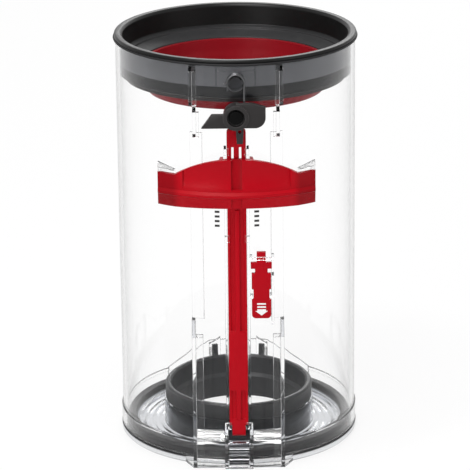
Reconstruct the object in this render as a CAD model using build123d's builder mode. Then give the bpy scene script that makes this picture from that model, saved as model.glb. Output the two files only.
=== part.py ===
from build123d import *
import os
from math import asin, cos, degrees, radians, sin, sqrt

# Dust bin of an in-line stick vacuum cleaner: a clear tube that stands on its emptying door.
# +Z runs up the tube, Z = 0 is the inlet sleeve's lower end, the runner faces -Y, the door hinge is at +Y.
# All sizes are in millimetres.

# Tube
body_radius = 58.0
body_wall = 2.0
overall_height = 201.2
band_step = 0.6
band_height = 8.4
socket_relief = 0.6
socket_depth = 7.2

# Clearances
seat_gap = 0.1
moving_gap = 0.3
pin_gap = 0.05
door_gap = 0.3

# Mouth collar, its seal, and the wiper below it
rim_height = 1.6
rim_overhang = 0.6
rim_chamfer = 0.6
mouth_seal_height = 1.4
mouth_seal_overhang = 1.2
collar_wall = 1.5
collar_skirt = 15.8
skirt_wall = 2.5
mouth_depth = 10.8
ledge_width = 2.4
ledge_drop = 0.8
funnel_lip = 1.8
throat_inset = 9.9
funnel_drop = 4.4
funnel_edge = 2.6
wiper_wall = 1.7
wiper_drop = 10.0
wiper_flange = 5.1
wiper_flange_height = 1.7
wiper_taper = 2.6
retainer_height = 1.5
retainer_clip = 4.5

# Emptying door
ring_foot = -1.8
ring_height = 2.6
ring_overhang = 0.7
ring_chamfer = 0.6
upstand_height = 3.8
upstand_wall = 1.8
window_ledge = 2.2
window_ledge_z = 0.6
window_wall = 2.2
window_floor_z = -1.0
window_riser = 3.6
seal_flange = 1.1
seal_wall = 1.6
seal_crown = 1.7
seal_skirt = 3.3
seal_bevel = 0.6

# Inlet tube and sleeve
inlet_radius = 32.0
sleeve_wall = 3.7
sleeve_step = 1.6
sleeve_step_z = 10.6
sleeve_height = 21.6
sleeve_lip = 0.9
sleeve_lip_round = 0.9
tube_wall = 1.4
tube_top = 13.5
lug_spread = 19.5
lug_width = 2.8
lug_height = 5.8
lug_depth = 2.2

# Door hinge
hinge_offset = 5.0
hinge_z = 1.2
hinge_pin_radius = 1.2
knuckle_radius = 2.7
arm_inner = 9.2
arm_width = 3.2
ear_width = 3.0
ear_top = 20.0
hood_top = 22.6
hood_shoulder = 18.6
hood_base = 6.0
hood_depth = 1.6
tent_half = 37.5
tent_eaves = 11.0
tent_top = 21.5
tent_rise = 1.4
door_wire = 0.7
door_coil_gap = 0.45
door_coil_turns = 5.75
door_coil_pitch = 1.25
door_leg = 9.0

# Runner rails and the shallow tracks between them
rail_half_width = 22.0
rail_wall = 1.6
rail_lip = 1.6
rail_foot_z = 0.6
rail_shoulder_z = 73.5
lower_rail_depth = 8.0
lower_lip_x = 16.6
upper_rail_depth = 6.2
upper_rail_length = 16.4
upper_lip_x = 18.4
stub_half_width = 20.4
stub_lip_x = 17.3
stub_length = 12.0
stub_gap = 3.2
track_rise = 0.7
track_inner = 16.0
track_outer = 21.6
rail_slope = 6.0
rail_top_gap = 0.6
foot_flare = 26.0
shelf_height = 1.2

# Push rod
rod_half_width = 4.5
rod_gap = 1.0
rod_thickness = 3.6
rod_rib_half = 1.1
rod_rib = 0.8
groove_half = 3.3
groove_depth = 0.6
rod_flat_bottom = 39.2
rod_flat_top = 69.4
rod_corner = 1.6
slit_width = 1.1
slit_offset = 1.8
slit_drop = 8.5
slit_length = 14.0
tongue_half = 3.2
tongue_length = 6.0
tongue_bevel = 1.2
guide_wall = 1.1
guide_height = 3.6
hook_reach = 0.9
hook_length = 3.0
hook_thickness = 1.0

# Release lever
lever_travel = 9.0
lever_drop = 37.8
lever_half_width = 37.2
lever_block = 8.4
lever_gap = 1.0
lever_thickness = 7.0
lever_ridge = 2.0
ridge_half = 2.2
lever_crown = 17.1
lever_block_top = 8.3
lever_below = 8.1
lever_bottom_rise = 0.8
dish_radius = 25.0
dish_depth = 1.0
dish_span = 22.5
stripe_half = 2.4
stripe_depth = 0.8
lever_skin = 1.4
clip_length = 5.0
stop_height = 2.2

# Lever spring in the back of the rod
pocket_half = 1.7
pocket_depth = 2.5
pocket_length = 32.0
pocket_drop = 13.0
anchor_height = 2.0
lever_wire = 0.45
lever_coil_radius = 0.9
lever_coil_turns = 8

# Latch rocker
latch_drop = 22.2
latch_post_radius = 2.4
latch_post_length = 8.0
hub_radius = 6.0
hub_recess = 4.2
hub_standoff = 3.0
hub_depth = 7.2
hub_lip = 2.5
wing_thickness = 2.4
wing_setback = 3.4
left_reach = 16.2
left_shoulder = 11.4
right_reach = 13.8
wing_below = 5.2
left_above = 1.3
right_above = 6.7
right_drop = 1.8
right_drop_x = 7.5
right_corner = 5.0
tail_left = 0.2
tail_right = 3.6
tail_taper = 0.5
tail_length = 7.6
tail_hole_radius = 0.9
peg_radius = 0.8
peg_x = 5.2
peg_z = 5.2
peg_length = 1.6
screw_head_radius = 3.2
screw_head_height = 1.7
screw_shank_radius = 1.4
screw_length = 5.0

# Latch spring
spring_post_drop = 6.6
spring_post_radius = 3.1
spring_post_length = 7.0
boss_half = 9.3
boss_rise = 0.8
boss_top_gap = 2.2
boss_height = 14.5
latch_wire = 1.0
latch_coil_gap = 0.25
latch_coil_turns = 3.5
latch_coil_pitch = 1.08
latch_leg = 4.5

# Runner button
button_x = 11.3
button_half_width = 4.6
button_travel = 3.0
button_thickness = 2.2
button_top_drop = 12.8
stem_half = 2.15
stem_length = 5.2
arm_half = 5.0
arm_height = 3.1
neck_half = 3.0
neck_length = 2.3
button_body = 22.6
button_corner = 2.0
notch_depth = 0.8
notch_height = 5.0
notch_drop = 8.0
button_guide = 1.1
button_bar = 1.4

# Door catch in the front bracket
bracket_inner = 5.2
bracket_wall = 1.6
bracket_reach = 9.2
bracket_top = 20.5
bracket_foot = 0.4
bracket_bar = 1.0
tie_rib = 1.8
tie_drop = 0.6
tie_step = 3.4
catch_z = 11.8
catch_offset = 7.2
catch_pin_radius = 1.1
catch_knuckle = 2.2
catch_front = 1.4
catch_back = 1.0
catch_foot = 2.2
catch_nose = 1.2
catch_ramp_top = 8.6
catch_ramp_bottom = 5.9
catch_ramp_reach = 3.0
keeper_reach = 2.9
keeper_stem = 1.9
keeper_half = 4.2
keeper_top = 5.4
keeper_under = 3.8

# Levels and radii that follow
bore_radius = body_radius - body_wall
ring_top = ring_foot + ring_height
body_bottom = ring_top + seal_flange + door_gap
band_top = body_bottom + band_height
band_radius = body_radius + band_step
socket_top = body_bottom + socket_depth
socket_radius = bore_radius + socket_relief
rim_bottom = overall_height - rim_height
body_top = rim_bottom - mouth_seal_height
ring_radius = body_radius + ring_overhang
seal_radius = socket_radius - moving_gap
upstand_radius = seal_radius - seal_wall - seat_gap
upstand_inner = upstand_radius - upstand_wall
upstand_top = ring_top + upstand_height
ring_inner = upstand_inner - window_ledge
sleeve_radius = inlet_radius + sleeve_wall
tube_inner = sleeve_radius + seat_gap
tube_radius = tube_inner + tube_wall
window_floor = window_floor_z + window_wall
window_rim_bottom = window_ledge_z + seat_gap
window_rim = window_rim_bottom + window_wall
hinge_y = body_radius + hinge_offset
arm_outer = arm_inner + arm_width
ear_inner = arm_outer + moving_gap
ear_outer = ear_inner + ear_width

rod_back = body_radius + rod_gap
rod_front = rod_back + rod_thickness
latch_z = body_top - latch_drop
hub_bottom = latch_z - hub_radius
rod_top = hub_bottom - rod_gap
spring_z = body_top - spring_post_drop
ridge_z = latch_z - lever_drop
lever_bottom = ridge_z - lever_below
lever_rest = lever_bottom - lever_travel
button_top = lever_rest - button_top_drop
catch_y = body_radius + catch_offset
catch_half = bracket_inner - moving_gap
tongue_tip = catch_z + catch_knuckle + rod_gap + moving_gap
rod_bottom = tongue_tip + tongue_length
guide_inner = rod_half_width + moving_gap
guide_outer = guide_inner + guide_wall
guide_front = rod_back + guide_height - moving_gap
hook_front = rod_front + moving_gap + hook_thickness
bracket_front = body_radius + bracket_reach
bracket_outer = bracket_inner + bracket_wall
lever_inner = body_radius + lever_gap
lever_outer = lever_inner + lever_thickness

os.makedirs("parts", exist_ok=True)


def front_plane(angle):
    """Upright plane through the axis, turned by an angle from the front towards +X."""
    turn = radians(angle)
    return Plane(origin=(0, 0, 0), x_dir=(sin(turn), -cos(turn), 0), z_dir=(-cos(turn), -sin(turn), 0))


def outline(plane, *points):
    """A closed straight-sided outline on a plane."""
    with BuildSketch(plane) as sketch:
        with BuildLine():
            Polyline(*points, close=True)
        make_face()
    return sketch.sketch


def slab(x, y, z, mode=Mode.ADD):
    """A block between three pairs of limits, in the part that is being built."""
    with Locations((sum(x) / 2, sum(y) / 2, sum(z) / 2)):
        Box(abs(x[1] - x[0]), abs(y[1] - y[0]), abs(z[1] - z[0]), mode=mode)


def both_sides(x, y, z, mode=Mode.ADD):
    """The same block at +X and at -X."""
    for side in (1, -1):
        slab((side * x[0], side * x[1]), y, z, mode)


def cross_bore(y, z, radius, half_length):
    """A round hole along X."""
    with Locations(Location((0, y, z), (0, 90, 0))):
        Cylinder(radius, 2 * half_length, mode=Mode.SUBTRACT)


def coil(centre, axis, start, radius, wire, pitch, turns):
    """A six-sided wire wound left-handed round an axis, from a given direction out of the centre."""
    frame = Plane(origin=centre, x_dir=start, z_dir=axis)
    with BuildLine(mode=Mode.PRIVATE) as path:
        Helix(pitch, pitch * turns, radius, lefthand=True)
    with BuildPart(mode=Mode.PRIVATE) as winding:
        with BuildSketch(Plane(origin=path.line @ 0, z_dir=path.line % 0)):
            RegularPolygon(wire / 2, 6)
        sweep(path=path.line, is_frenet=True)
    return frame.location * winding.part


def wire_leg(start, end, wire):
    """A straight leg of a wire spring."""
    run = Vector(*end) - Vector(*start)
    with BuildSketch(Plane(origin=start, z_dir=run.normalized())) as section:
        RegularPolygon(wire / 2, 6)
    extrude(section.sketch, amount=run.length)


# Clear bin: the outside and everything that stands on it, then the bore
with BuildPart() as bin_body:
    revolve(
        outline(
            Plane.XZ,
            (0, body_bottom),
            (band_radius, body_bottom),
            (band_radius, band_top),
            (body_radius, band_top + band_step),
            (body_radius, body_top),
            (0, body_top),
        )
    )

    # Runner rails: hooked strips below the lever's travel and above it
    upper_head = body_top - rail_top_gap
    upper_foot = upper_head - upper_rail_length
    stub_head = upper_foot - stub_gap
    stub_foot = stub_head - stub_length
    rail_stretches = (
        (rail_foot_z, rail_shoulder_z, lower_rail_depth, lower_lip_x, rail_half_width),
        (stub_foot, stub_head, upper_rail_depth, stub_lip_x, stub_half_width),
        (upper_foot, upper_head, upper_rail_depth, upper_lip_x, rail_half_width),
    )
    rail_root = -sqrt(bore_radius**2 - rail_half_width**2)
    rail_inside = rail_half_width - rail_wall
    for foot, head, depth, lip_x, outer_x in rail_stretches:
        front = -(body_radius + depth)
        for side in (1, -1):
            profile = outline(
                Plane.XY.offset(foot),
                (side * (outer_x - rail_wall), rail_root),
                (side * outer_x, rail_root),
                (side * outer_x, front),
                (side * lip_x, front),
                (side * lip_x, front + rail_lip),
                (side * (outer_x - rail_wall), front + rail_lip),
            )
            extrude(profile, amount=head - foot)

    # Shallow tracks between the rails, low enough to pass behind the lever, and a boss at the spring
    proud_strips = (
        (track_inner, track_outer, rail_shoulder_z, stub_foot, track_rise),
        (-track_outer, -track_inner, rail_shoulder_z, stub_foot, track_rise),
        (-boss_half, boss_half, body_top - boss_top_gap - boss_height, body_top - boss_top_gap, boss_rise),
    )
    for first_x, last_x, foot, head, rise in proud_strips:
        first, last = [degrees(asin(x / body_radius)) for x in (first_x, last_x)]
        strip = outline(
            front_plane(first),
            (bore_radius, foot),
            (body_radius + rise, foot),
            (body_radius + rise, head),
            (bore_radius, head),
        )
        revolve(strip, axis=Axis.Z, revolution_arc=last - first)
    rail_front = -(body_radius + lower_rail_depth)
    extrude(
        outline(
            Plane.YZ,
            (rail_front, rail_shoulder_z - rail_slope),
            (-body_radius, rail_shoulder_z),
            (rail_front, rail_shoulder_z),
        ),
        amount=rail_half_width,
        both=True,
        mode=Mode.SUBTRACT,
    )

    # Foot of the runner: a shelf that ties the rails to the bracket, flared at its ends
    for side in (1, -1):
        shelf = outline(
            Plane.XY.offset(rail_foot_z),
            (side * bracket_inner, rail_front),
            (side * rail_half_width, rail_front),
            (side * foot_flare, -body_radius),
            (side * foot_flare, rail_root),
            (side * bracket_inner, rail_root),
        )
        extrude(shelf, amount=shelf_height)
    for level in (catch_z - tie_drop, catch_z - tie_drop + tie_step):
        both_sides((bracket_inner, rail_inside), (-band_radius - guide_height, rail_root),
                   (level, level + tie_rib))

    # Front bracket: two ears for the catch pin and a bar below the catch
    ear_round = bracket_reach / 2
    for side in (1, -1):
        ear = outline(
            Plane.YZ.offset(side * bracket_inner),
            (-bracket_front, bracket_foot),
            (-bracket_front, bracket_top - ear_round),
            (-bracket_front + ear_round, bracket_top),
            (rail_root, bracket_top),
            (rail_root, bracket_foot),
        )
        extrude(ear, amount=side * bracket_wall)
    slab((-bracket_outer, bracket_outer), (-bracket_front, -catch_y),
         (bracket_foot, bracket_foot + bracket_bar))

    # Guides along the push rod, with hooks that hold it in
    guide_foot = bracket_top - rod_gap
    guide_head = rod_top - hub_radius - hook_length
    both_sides((guide_inner, guide_outer), (-guide_front, -bore_radius), (guide_foot, guide_head))
    hook_levels = (guide_foot, lever_rest - rod_gap - 2 * hook_length, guide_head - hook_length)
    for level in hook_levels:
        both_sides((guide_inner, guide_outer), (-hook_front, -bore_radius), (level, level + hook_length))
        both_sides((rod_half_width - hook_reach, guide_outer), (-hook_front, hook_thickness - hook_front),
                   (level, level + hook_length))

    # Anchor for the lever spring, inside the rod's pocket
    pocket_top = lever_bottom - pocket_drop
    pocket_bottom = pocket_top - pocket_length
    anchor_bottom = pocket_bottom + moving_gap
    anchor_top = anchor_bottom + anchor_height
    anchor_half = pocket_half - moving_gap
    anchor_front = rod_back + pocket_depth - moving_gap
    slab((-anchor_half, anchor_half), (-anchor_front, -bore_radius), (anchor_bottom, anchor_top))

    # Posts for the latch rocker and for its spring
    for level, radius, length in (
        (latch_z, latch_post_radius, latch_post_length),
        (spring_z, spring_post_radius, spring_post_length),
    ):
        with BuildSketch(Plane.XZ.offset(bore_radius)):
            with Locations((0, level)):
                Circle(radius)
        extrude(amount=body_wall + length)
    spring_radius = spring_post_radius + latch_coil_gap + latch_wire / 2
    rest_x = -spring_radius - latch_wire / 2 - seat_gap
    slab((rest_x - guide_wall, rest_x), (-body_radius - spring_post_length / 2, -bore_radius),
         (spring_z - latch_leg, spring_z - latch_wire))

    # Pocket of the runner button: an outer guide, two stop lugs and a bar across the stem
    button_left = button_x - button_half_width
    button_right = button_x + button_half_width
    button_back = rod_back
    button_front = button_back + button_thickness
    arm_top = button_top - stem_length
    neck_top = arm_top - arm_height
    body_top_z = neck_top - neck_length
    button_bottom = body_top_z - button_body
    notch_top = body_top_z - notch_drop
    stop_foot = notch_top - notch_height + moving_gap
    stop_head = notch_top - button_travel - moving_gap
    guide_x = button_right + moving_gap
    bar_level = button_top - stem_half
    button_depth = (-button_front, rail_root)
    slab((guide_x, guide_x + button_guide), button_depth,
         (button_bottom - button_travel, neck_top - button_travel - moving_gap))
    stop_reach = notch_depth - moving_gap
    slab((button_right - stop_reach, guide_x + button_guide), button_depth, (stop_foot, stop_head))
    slab((guide_outer, button_left + stop_reach), button_depth, (stop_foot, stop_head))
    bar_back = button_front + moving_gap
    bar_span = (bar_level - button_bar, bar_level)
    slab((guide_outer, guide_x + button_guide), (-bar_back - button_bar, -bar_back), bar_span)
    for post_x in (guide_outer, guide_x):
        slab((post_x, post_x + button_guide), (-bar_back - button_bar, rail_root), bar_span)

    # Wedge-shaped stops above the lever's ends
    block_top = ridge_z + lever_block_top
    block_inner = lever_half_width - lever_block
    stop_level = block_top + moving_gap
    stop_back = sqrt(bore_radius**2 - lever_half_width**2)
    stop_front = sqrt((lever_outer - moving_gap) ** 2 - lever_half_width**2)
    for side in (1, -1):
        wedge = outline(
            Plane.XZ.offset(stop_back),
            (side * block_inner, stop_level),
            (side * lever_half_width, stop_level),
            (side * lever_half_width, stop_level + stop_height),
        )
        extrude(wedge, amount=stop_front - stop_back)

    # Hinge: a tent-shaped pad round the back of the tube, with a raised hood and an ear on each side
    with BuildPart(mode=Mode.PRIVATE) as tent:
        extrude(
            outline(
                Plane.XZ,
                (-tent_half, hood_base),
                (-tent_half, tent_eaves),
                (-ear_outer, tent_top),
                (ear_outer, tent_top),
                (tent_half, tent_eaves),
                (tent_half, hood_base),
            ),
            amount=-body_radius - tent_rise,
        )
        with Locations((0, 0, (hood_base + tent_top) / 2)):
            Cylinder(body_radius + tent_rise, tent_top - hood_base, mode=Mode.INTERSECT)
    add(tent.part)
    for side in (1, -1):
        hood = outline(
            Plane.XZ.offset(-band_radius - hood_depth),
            (side * arm_inner, hood_base),
            (side * (ear_outer + seat_gap), hood_base),
            (side * (ear_outer + seat_gap), hood_shoulder),
            (side * arm_inner, hood_top),
        )
        extrude(hood, amount=band_radius + hood_depth - sqrt(bore_radius**2 - ear_outer**2))
        with BuildSketch(Plane.YZ.offset(side * ear_inner)):
            with BuildLine():
                Polyline(
                    (bore_radius - body_wall, ear_top),
                    (band_radius, ear_top),
                    (hinge_y + knuckle_radius, hinge_z + 2 * knuckle_radius),
                    (hinge_y + knuckle_radius, hinge_z),
                    (hinge_y - knuckle_radius, hinge_z),
                    (hinge_y - knuckle_radius, hood_base),
                    (bore_radius - body_wall, hood_base),
                    close=True,
                )
            make_face()
            with Locations((hinge_y, hinge_z)):
                Circle(knuckle_radius)
        extrude(amount=side * ear_width)
    door_coil_radius = hinge_pin_radius + door_coil_gap + door_wire / 2
    seat_half = door_wire + moving_gap
    coil_half = door_coil_pitch * door_coil_turns / 2
    slab((coil_half - seat_half, coil_half + seat_half),
         (bore_radius, hinge_y - door_coil_radius - door_wire / 2 - seat_gap),
         (hood_base, hinge_z + door_leg))

    # Bore, door socket, and room for the door's ring below the tube
    revolve(
        outline(
            Plane.XZ,
            (0, body_bottom),
            (socket_radius, body_bottom),
            (socket_radius, socket_top),
            (bore_radius, socket_top + socket_relief),
            (bore_radius, body_top),
            (0, body_top),
        ),
        mode=Mode.SUBTRACT,
    )
    with Locations((0, 0, (ring_foot + body_bottom) / 2)):
        Cylinder(ring_radius + 2 * moving_gap, body_bottom - ring_foot, mode=Mode.SUBTRACT)

    # Pin holes and the pilot hole for the latch screw
    cross_bore(hinge_y, hinge_z, hinge_pin_radius, ear_outer + seat_gap)
    cross_bore(-catch_y, catch_z, catch_pin_radius, bracket_outer)
    with BuildSketch(Plane.XZ.offset(body_radius + latch_post_length - screw_length)):
        with Locations((0, latch_z)):
            Circle(screw_shank_radius)
    extrude(amount=screw_length, mode=Mode.SUBTRACT)

# Mouth collar: rim, skirt inside the tube, stepped funnel down to the throat
collar_radius = bore_radius - seat_gap
mouth_radius = collar_radius - collar_wall
throat_radius = collar_radius - throat_inset
skirt_bottom = body_top - collar_skirt
ledge_z = overall_height - mouth_depth
throat_top = ledge_z - funnel_drop
throat_bottom = throat_top - funnel_edge
with BuildPart() as mouth_collar:
    revolve(
        outline(
            Plane.XZ,
            (body_radius + rim_overhang, rim_bottom),
            (body_radius + rim_overhang, overall_height - rim_chamfer),
            (body_radius + rim_overhang - rim_chamfer, overall_height),
            (mouth_radius + 2 * rim_chamfer, overall_height),
            (mouth_radius, overall_height - 2 * rim_chamfer),
            (mouth_radius, ledge_z),
            (mouth_radius - ledge_width, ledge_z - ledge_drop),
            (mouth_radius - ledge_width, ledge_z - 2 * ledge_drop),
            (throat_radius, throat_top),
            (throat_radius, throat_bottom),
            (throat_radius + funnel_lip, throat_bottom),
            (collar_radius - skirt_wall, throat_top),
            (collar_radius - skirt_wall, skirt_bottom),
            (collar_radius - rim_chamfer, skirt_bottom),
            (collar_radius, skirt_bottom + rim_chamfer),
            (collar_radius, rim_bottom),
        )
    )

# Mouth seal: a bead between the tube's edge and the collar's rim
with BuildPart() as mouth_seal:
    revolve(
        outline(
            Plane.XZ,
            (bore_radius, body_top + seat_gap),
            (body_radius + rim_overhang, body_top + seat_gap),
            (body_radius + mouth_seal_overhang, body_top + mouth_seal_height / 2),
            (body_radius + rim_overhang, rim_bottom - seat_gap),
            (bore_radius, rim_bottom - seat_gap),
        )
    )

# Shroud wiper: a flange under the funnel and a tapered skirt that ends in a thin lip
wiper_outer = throat_radius - seat_gap
wiper_inner = wiper_outer - wiper_wall
flange_top = throat_bottom - seat_gap
flange_bottom = flange_top - wiper_flange_height
with BuildPart() as shroud_wiper:
    revolve(
        outline(
            Plane.XZ,
            (wiper_outer, throat_top - 2 * seat_gap),
            (wiper_inner, throat_top - 2 * seat_gap),
            (wiper_inner, flange_bottom),
            (wiper_inner - wiper_taper, throat_bottom - wiper_drop),
            (wiper_inner - wiper_taper + wiper_wall * 0.7, throat_bottom - wiper_drop),
            (wiper_outer, flange_bottom),
            (wiper_outer + wiper_flange, flange_bottom),
            (wiper_outer + wiper_flange, flange_top),
            (wiper_outer, flange_top),
        )
    )

# Retainer: an angle ring that holds the wiper's flange up and clips inside the collar's skirt
retainer_radius = collar_radius - skirt_wall - seat_gap
retainer_top = flange_bottom - seat_gap
retainer_bottom = retainer_top - retainer_height
with BuildPart() as wiper_retainer:
    revolve(
        outline(
            Plane.XZ,
            (throat_radius + moving_gap, retainer_bottom),
            (retainer_radius, retainer_bottom),
            (retainer_radius, retainer_bottom + retainer_clip),
            (retainer_radius - retainer_height, retainer_bottom + retainer_clip),
            (retainer_radius - retainer_height, retainer_top),
            (throat_radius + moving_gap, retainer_top),
        )
    )

# Door ring: flange, upstand for the seal, ledge for the window, hinge arms and the catch's keeper
with BuildPart() as door_ring:
    revolve(
        outline(
            Plane.XZ,
            (ring_inner, ring_foot),
            (ring_radius - ring_chamfer, ring_foot),
            (ring_radius, ring_foot + ring_chamfer),
            (ring_radius, ring_top),
            (upstand_radius, ring_top),
            (upstand_radius, upstand_top),
            (upstand_inner, upstand_top),
            (upstand_inner, window_ledge_z),
            (ring_inner, window_ledge_z),
        )
    )
    arm_foot = hinge_z - knuckle_radius
    arm_root = sqrt(ring_radius**2 - arm_outer**2) - ring_chamfer - ring_height
    for side in (1, -1):
        with BuildSketch(Plane.YZ.offset(side * arm_inner)):
            with BuildLine():
                Polyline(
                    (arm_root, arm_foot),
                    (hinge_y, arm_foot),
                    (hinge_y, ring_top),
                    (arm_root, ring_top),
                    close=True,
                )
            make_face()
            with Locations((hinge_y, hinge_z)):
                Circle(knuckle_radius)
        extrude(amount=side * arm_width)
    cross_bore(hinge_y, hinge_z, hinge_pin_radius + pin_gap, arm_outer)

    # Seat for the spring's door leg
    leg_bottom = hinge_z + door_coil_radius - door_wire / 2
    leg_seat = (-coil_half - seat_half, -coil_half + seat_half)
    leg_back = hinge_y - door_coil_radius - door_wire
    slab(leg_seat, (arm_root, leg_back), (arm_foot, ring_top))
    slab(leg_seat, (band_radius + 2 * moving_gap, leg_back), (arm_foot, leg_bottom - seat_gap))

    # Keeper at the front, under whose lip the catch's nose stands
    keeper = outline(
        Plane.YZ,
        (-arm_root, arm_foot),
        (-ring_radius - keeper_stem, arm_foot),
        (-ring_radius - keeper_stem, keeper_under),
        (-ring_radius - keeper_reach, keeper_under),
        (-ring_radius - keeper_reach, keeper_top),
        (-band_radius - 2 * moving_gap, keeper_top),
        (-band_radius - 2 * moving_gap, ring_top),
        (-arm_root, ring_top),
    )
    extrude(keeper, amount=keeper_half, both=True)

# Door window: clear floor with a raised rim, and the tube that carries the inlet sleeve
with BuildPart() as door_window:
    revolve(
        outline(
            Plane.XZ,
            (tube_inner, window_floor_z),
            (ring_inner - window_riser, window_floor_z),
            (ring_inner - moving_gap, window_rim_bottom),
            (upstand_inner - seat_gap, window_rim_bottom),
            (upstand_inner - seat_gap, window_rim),
            (ring_inner - 2 * moving_gap, window_rim),
            (ring_inner - window_riser - 2 * moving_gap, window_floor),
            (tube_radius, window_floor),
            (tube_radius, tube_top),
            (tube_inner, tube_top),
        )
    )

# Door seal: a rubber cap over the ring's upstand, with a flange under the tube's edge
seal_inner = upstand_inner - seat_gap - seal_wall
seal_top = upstand_top + seat_gap + seal_crown
with BuildPart() as door_seal:
    revolve(
        outline(
            Plane.XZ,
            (upstand_radius + seat_gap, ring_top + seat_gap),
            (ring_radius, ring_top + seat_gap),
            (ring_radius, ring_top + seal_flange),
            (seal_radius - moving_gap, ring_top + seal_flange),
            (seal_radius, seal_top - 2 * seal_bevel),
            (seal_radius - 2 * seal_bevel, seal_top),
            (seal_inner + seal_bevel, seal_top),
            (seal_inner, seal_top - seal_bevel),
            (seal_inner, seal_top - seal_skirt),
            (upstand_inner - seat_gap, seal_top - seal_skirt),
            (upstand_inner - seat_gap, upstand_top + seat_gap),
            (upstand_radius + seat_gap, upstand_top + seat_gap),
        )
    )

# Inlet sleeve: stepped bore, rolled lip above the tube, and two lugs at the back of the lip
lip_radius = sleeve_radius + sleeve_lip
upper_inner = inlet_radius + sleeve_step
with BuildPart() as inlet_sleeve:
    revolve(
        outline(
            Plane.XZ,
            (inlet_radius, 0),
            (sleeve_radius, 0),
            (sleeve_radius, tube_top + seat_gap),
            (lip_radius, tube_top + seat_gap),
            (lip_radius, sleeve_height - sleeve_lip_round),
            (lip_radius - sleeve_lip_round, sleeve_height),
            (upper_inner + sleeve_lip_round, sleeve_height),
            (upper_inner, sleeve_height - sleeve_lip_round),
            (upper_inner, sleeve_step_z + sleeve_step),
            (inlet_radius, sleeve_step_z),
        )
    )
    lug_arc = degrees(lug_width / sleeve_radius)
    for turn in (180 - lug_spread, 180 + lug_spread):
        lug = outline(
            front_plane(turn - lug_arc / 2),
            (upper_inner + sleeve_lip_round, sleeve_height - sleeve_lip_round),
            (upper_inner + sleeve_lip_round + lug_depth, sleeve_height - sleeve_lip_round),
            (upper_inner + sleeve_lip_round + lug_depth, sleeve_height + lug_height),
            (upper_inner + 2 * sleeve_lip_round, sleeve_height + lug_height),
        )
        revolve(lug, axis=Axis.Z, revolution_arc=lug_arc)

# Hinge pin and the door's opening spring round it
with BuildPart() as hinge_pin:
    with Locations(Location((0, hinge_y, hinge_z), (0, 90, 0))):
        Cylinder(hinge_pin_radius, 2 * ear_outer)

with BuildPart() as door_spring:
    add(
        coil((-coil_half, hinge_y, hinge_z), (1, 0, 0), (0, 0, 1), door_coil_radius, door_wire,
             door_coil_pitch, door_coil_turns)
    )
    wire_leg(
        (-coil_half, hinge_y, hinge_z + door_coil_radius),
        (-coil_half, band_radius + moving_gap, hinge_z + door_coil_radius),
        door_wire,
    )
    wire_leg(
        (coil_half, hinge_y - door_coil_radius, hinge_z),
        (coil_half, hinge_y - door_coil_radius, hinge_z + door_leg),
        door_wire,
    )

# Push rod: ribbed bar with a flat stretch, a slit head, a bevelled tongue and a pocket for its spring
slit_top = rod_top - slit_drop
slit_bottom = slit_top - slit_length
with BuildPart() as push_rod:
    rod_width = (-rod_half_width, rod_half_width)
    rib_depth = (-rod_front - rod_rib, -rod_front)
    slab(rod_width, (-rod_front, -rod_back), (rod_bottom, rod_top))
    fillet(push_rod.edges().filter_by(Axis.Y).group_by(Axis.Z)[-1], rod_corner)
    slab(rod_width, rib_depth, (rod_flat_bottom, rod_flat_top))
    rib_stretches = (
        (tongue_tip + lever_travel, rod_flat_bottom),
        (rod_flat_top, lever_bottom - moving_gap),
    )
    for foot, head in rib_stretches:
        both_sides((rod_rib_half, groove_half), (-rod_front, groove_depth - rod_front), (foot, head),
                   Mode.SUBTRACT)
        slab((-rod_rib_half, rod_rib_half), rib_depth, (foot, head))
    slab((-tongue_half, tongue_half), (-rod_front, -rod_back), (tongue_tip, rod_bottom))
    tip_edges = push_rod.edges().filter_by(Axis.X).group_by(Axis.Z)[0]
    chamfer(tip_edges.sort_by(Axis.Y)[0], tongue_bevel)
    both_sides((slit_offset - slit_width / 2, slit_offset + slit_width / 2), (-rod_front, -rod_back),
               (slit_bottom, slit_top), Mode.SUBTRACT)
    slab((-pocket_half, pocket_half), (-rod_back - pocket_depth, -rod_back), (pocket_bottom, pocket_top),
         Mode.SUBTRACT)

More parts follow.
